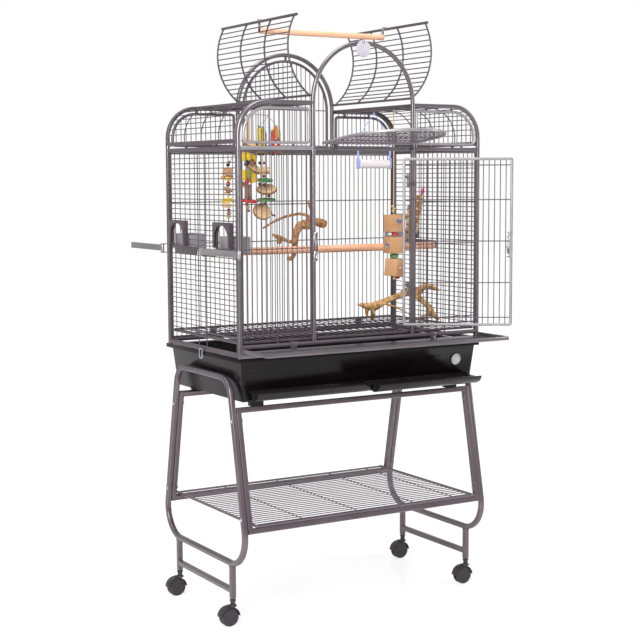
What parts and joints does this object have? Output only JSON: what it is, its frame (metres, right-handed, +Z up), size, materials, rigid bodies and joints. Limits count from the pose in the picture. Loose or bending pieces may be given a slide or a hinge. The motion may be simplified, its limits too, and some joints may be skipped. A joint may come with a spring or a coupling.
{
  "type": "bird cage",
  "caption": "Play-top wire bird cage with opening top flaps, arch door, front door, pull-out trays and a castored stand with a shelf.",
  "frame": {"origin": "floor, under the middle of the bounding box", "axes": "+X to the right along the front, +Y to the back, +Z up"},
  "size_m": [0.866, 0.9786, 1.6889],
  "materials": {
    "powder_coat": "hammered metallic grey-mauve powder coat",
    "black_plastic": "black moulded plastic, half gloss",
    "castor_plastic": "dark grey plastic",
    "cup_plastic": "grey plastic",
    "bright_steel": "plain steel",
    "perch_wood": "pale turned dowel",
    "brown_wood": "brown natural wood",
    "toy_mix": "wooden and coloured toy pieces",
    "leaf_strips": "dry leaf strips",
    "blue_plastic": "pale blue plastic"
  },
  "bodies": {
    "cage_and_stand": {"stand_end_left": "powder_coat", "stand_end_right": "powder_coat", "stand_frame_rear": "powder_coat", "stand_frame_front": "powder_coat", "shelf_grille": "powder_coat", "base_tub": "black_plastic", "badge_blank": "bright_steel", "front_frame": "powder_coat", "rear_frame": "powder_coat", "floor_grate": "powder_coat", "front_grille_left": "powder_coat", "front_grille_right": "powder_coat", "back_grille": "powder_coat", "gable_front_left": "powder_coat", "gable_front_right": "powder_coat", "gable_rear_left": "powder_coat", "gable_rear_right": "powder_coat", "gable_rear_middle": "powder_coat", "side_panel_left": "powder_coat", "side_panel_right": "powder_coat", "roof_left": "powder_coat", "roof_right": "powder_coat", "long_perch": "perch_wood", "perch_branch": "brown_wood", "floor_branch": "brown_wood"},
    "front_door_leaf": {"front_door": "powder_coat"},
    "door_latch_slider": {"door_latch": "blue_plastic"},
    "arch_door_leaf": {"arch_door": "powder_coat"},
    "arch_disc_turn": {"arch_disc": "bright_steel"},
    "flap_left_leaf": {"flap_left": "powder_coat", "top_perch": "perch_wood"},
    "flap_right_leaf": {"flap_right": "powder_coat"},
    "tray_left_slider": {"tray_left": "black_plastic"},
    "tray_right_slider": {"tray_right": "black_plastic"},
    "apron_lift": {"seed_apron": "powder_coat"},
    "hook_left": {"base_latch_left": "bright_steel"},
    "hook_right": {"base_latch_right": "bright_steel"},
    "swing_hanger": {"roller_swing": "blue_plastic"},
    "block_hanger": {"block_toy": "brown_wood"},
    "cluster_hanger": {"cluster_toy": "toy_mix"},
    "leaf_hanger": {"leaf_toy": "leaf_strips"},
    "hood_front_left": {"castor_hood_front_left": "castor_plastic"},
    "wheels_front_left": {"castor_wheels_front_left": "castor_plastic"},
    "cup_front_left": {"feeder_cup_front_left": "cup_plastic"},
    "arm_front_left": {"swing_arm_front_left": "powder_coat"},
    "hood_front_right": {"castor_hood_front_right": "castor_plastic"},
    "wheels_front_right": {"castor_wheels_front_right": "castor_plastic"},
    "hood_rear_left": {"castor_hood_rear_left": "castor_plastic"},
    "wheels_rear_left": {"castor_wheels_rear_left": "castor_plastic"},
    "cup_rear_left": {"feeder_cup_rear_left": "cup_plastic"},
    "arm_rear_left": {"swing_arm_rear_left": "powder_coat"},
    "hood_rear_right": {"castor_hood_rear_right": "castor_plastic"},
    "wheels_rear_right": {"castor_wheels_rear_right": "castor_plastic"},
    "cup_rear_right": {"feeder_cup_rear_right": "cup_plastic"},
    "arm_rear_right": {"swing_arm_rear_right": "powder_coat"}
  },
  "joints": [
    {"name": "castor_front_left_swivel", "type": "hinge", "parent": "cage_and_stand", "child": "hood_front_left", "pos_m": [-0.39076, -0.15012, 0.067], "axis": [0, 0, 1], "continuous": true},
    {"name": "castor_front_left_roll", "type": "hinge", "parent": "hood_front_left", "child": "wheels_front_left", "pos_m": [-0.40376, -0.15012, 0.026], "axis": [0, 1, 0], "continuous": true},
    {"name": "castor_front_right_swivel", "type": "hinge", "parent": "cage_and_stand", "child": "hood_front_right", "pos_m": [0.41384, -0.15012, 0.067], "axis": [0, 0, 1], "continuous": true},
    {"name": "castor_front_right_roll", "type": "hinge", "parent": "hood_front_right", "child": "wheels_front_right", "pos_m": [0.40084, -0.15012, 0.026], "axis": [0, 1, 0], "continuous": true},
    {"name": "castor_rear_left_swivel", "type": "hinge", "parent": "cage_and_stand", "child": "hood_rear_left", "pos_m": [-0.39076, 0.19368, 0.067], "axis": [0, 0, 1], "continuous": true},
    {"name": "castor_rear_left_roll", "type": "hinge", "parent": "hood_rear_left", "child": "wheels_rear_left", "pos_m": [-0.40376, 0.19368, 0.026], "axis": [0, 1, 0], "continuous": true},
    {"name": "castor_rear_right_swivel", "type": "hinge", "parent": "cage_and_stand", "child": "hood_rear_right", "pos_m": [0.41384, 0.19368, 0.067], "axis": [0, 0, 1], "continuous": true},
    {"name": "castor_rear_right_roll", "type": "hinge", "parent": "hood_rear_right", "child": "wheels_rear_right", "pos_m": [0.40084, 0.19368, 0.026], "axis": [0, 1, 0], "continuous": true},
    {"name": "front_door_hinge", "type": "hinge", "parent": "cage_and_stand", "child": "front_door_leaf", "pos_m": [0.15254, -0.21512, 1.05], "axis": [0, 0, 1], "range_deg": [-147, 20]},
    {"name": "door_latch_slide", "type": "slide", "parent": "front_door_leaf", "child": "door_latch_slider", "axis": [0, 0, 1], "range_m": [0, 0.012]},
    {"name": "arch_door_hinge", "type": "hinge", "parent": "cage_and_stand", "child": "arch_door_leaf", "pos_m": [0.01154, -0.21472, 1.3215], "axis": [1, 0, 0], "range_deg": [-79, 0]},
    {"name": "arch_disc_pivot", "type": "hinge", "parent": "cage_and_stand", "child": "arch_disc_turn", "pos_m": [0.00554, -0.20672, 1.618], "axis": [0, 1, 0], "range_deg": [-150, 150]},
    {"name": "flap_left_hinge", "type": "hinge", "parent": "cage_and_stand", "child": "flap_left_leaf", "pos_m": [-0.15846, 0.02178, 1.467], "axis": [0, -1, 0], "range_deg": [0, 30]},
    {"name": "flap_right_hinge", "type": "hinge", "parent": "cage_and_stand", "child": "flap_right_leaf", "pos_m": [0.18154, 0.02178, 1.467], "axis": [0, 1, 0], "range_deg": [0, 30]},
    {"name": "tray_left_slide", "type": "slide", "parent": "cage_and_stand", "child": "tray_left_slider", "axis": [0, -1, 0], "range_m": [-0.011, 0.33]},
    {"name": "tray_right_slide", "type": "slide", "parent": "cage_and_stand", "child": "tray_right_slider", "axis": [0, -1, 0], "range_m": [-0.041, 0.3]},
    {"name": "apron_lift_off", "type": "slide", "parent": "cage_and_stand", "child": "apron_lift", "axis": [0, 0, 1], "range_m": [0, 0.016]},
    {"name": "hook_left_hinge", "type": "hinge", "parent": "cage_and_stand", "child": "hook_left", "pos_m": [-0.39706, 0.02178, 0.7608], "axis": [0, 1, 0], "range_deg": [0, 95]},
    {"name": "hook_right_hinge", "type": "hinge", "parent": "cage_and_stand", "child": "hook_right", "pos_m": [0.42014, 0.02178, 0.7608], "axis": [0, -1, 0], "range_deg": [0, 95]},
    {"name": "cup_front_left_lift", "type": "slide", "parent": "cage_and_stand", "child": "cup_front_left", "axis": [0, 0, 1], "range_m": [0, 0.05]},
    {"name": "cup_rear_left_lift", "type": "slide", "parent": "cage_and_stand", "child": "cup_rear_left", "axis": [0, 0, 1], "range_m": [0, 0.05]},
    {"name": "cup_rear_right_lift", "type": "slide", "parent": "cage_and_stand", "child": "cup_rear_right", "axis": [0, 0, 1], "range_m": [0, 0.05]},
    {"name": "arm_front_left_hinge", "type": "hinge", "parent": "cage_and_stand", "child": "arm_front_left", "pos_m": [-0.40196, -0.22822, 1.025], "axis": [0, 0, 1], "range_deg": [0, 170]},
    {"name": "arm_rear_left_hinge", "type": "hinge", "parent": "cage_and_stand", "child": "arm_rear_left", "pos_m": [-0.40196, 0.25928, 1.025], "axis": [0, 0, 1], "range_deg": [0, 178]},
    {"name": "arm_rear_right_hinge", "type": "hinge", "parent": "cage_and_stand", "child": "arm_rear_right", "pos_m": [0.42504, 0.25928, 1.025], "axis": [0, 0, 1], "range_deg": [0, 178]},
    {"name": "swing_pivot", "type": "hinge", "parent": "cage_and_stand", "child": "swing_hanger", "pos_m": [0.18954, 0.02178, 1.4382], "axis": [1, 0, 0], "range_deg": [-9, 25]},
    {"name": "block_toy_pivot", "type": "hinge", "parent": "cage_and_stand", "child": "block_hanger", "pos_m": [0.22254, -0.03822, 1.4465], "axis": [1, 0, 0], "range_deg": [-15, 2.5]},
    {"name": "cluster_toy_pivot", "type": "hinge", "parent": "cage_and_stand", "child": "cluster_hanger", "pos_m": [-0.25046, 0.02178, 1.443], "axis": [1, 0, 0], "range_deg": [-15, 15]},
    {"name": "leaf_toy_pivot", "type": "hinge", "parent": "cage_and_stand", "child": "leaf_hanger", "pos_m": [0.36354, 0.02178, 1.43049], "axis": [1, 0, 0], "range_deg": [-8, 5]}
  ]
}
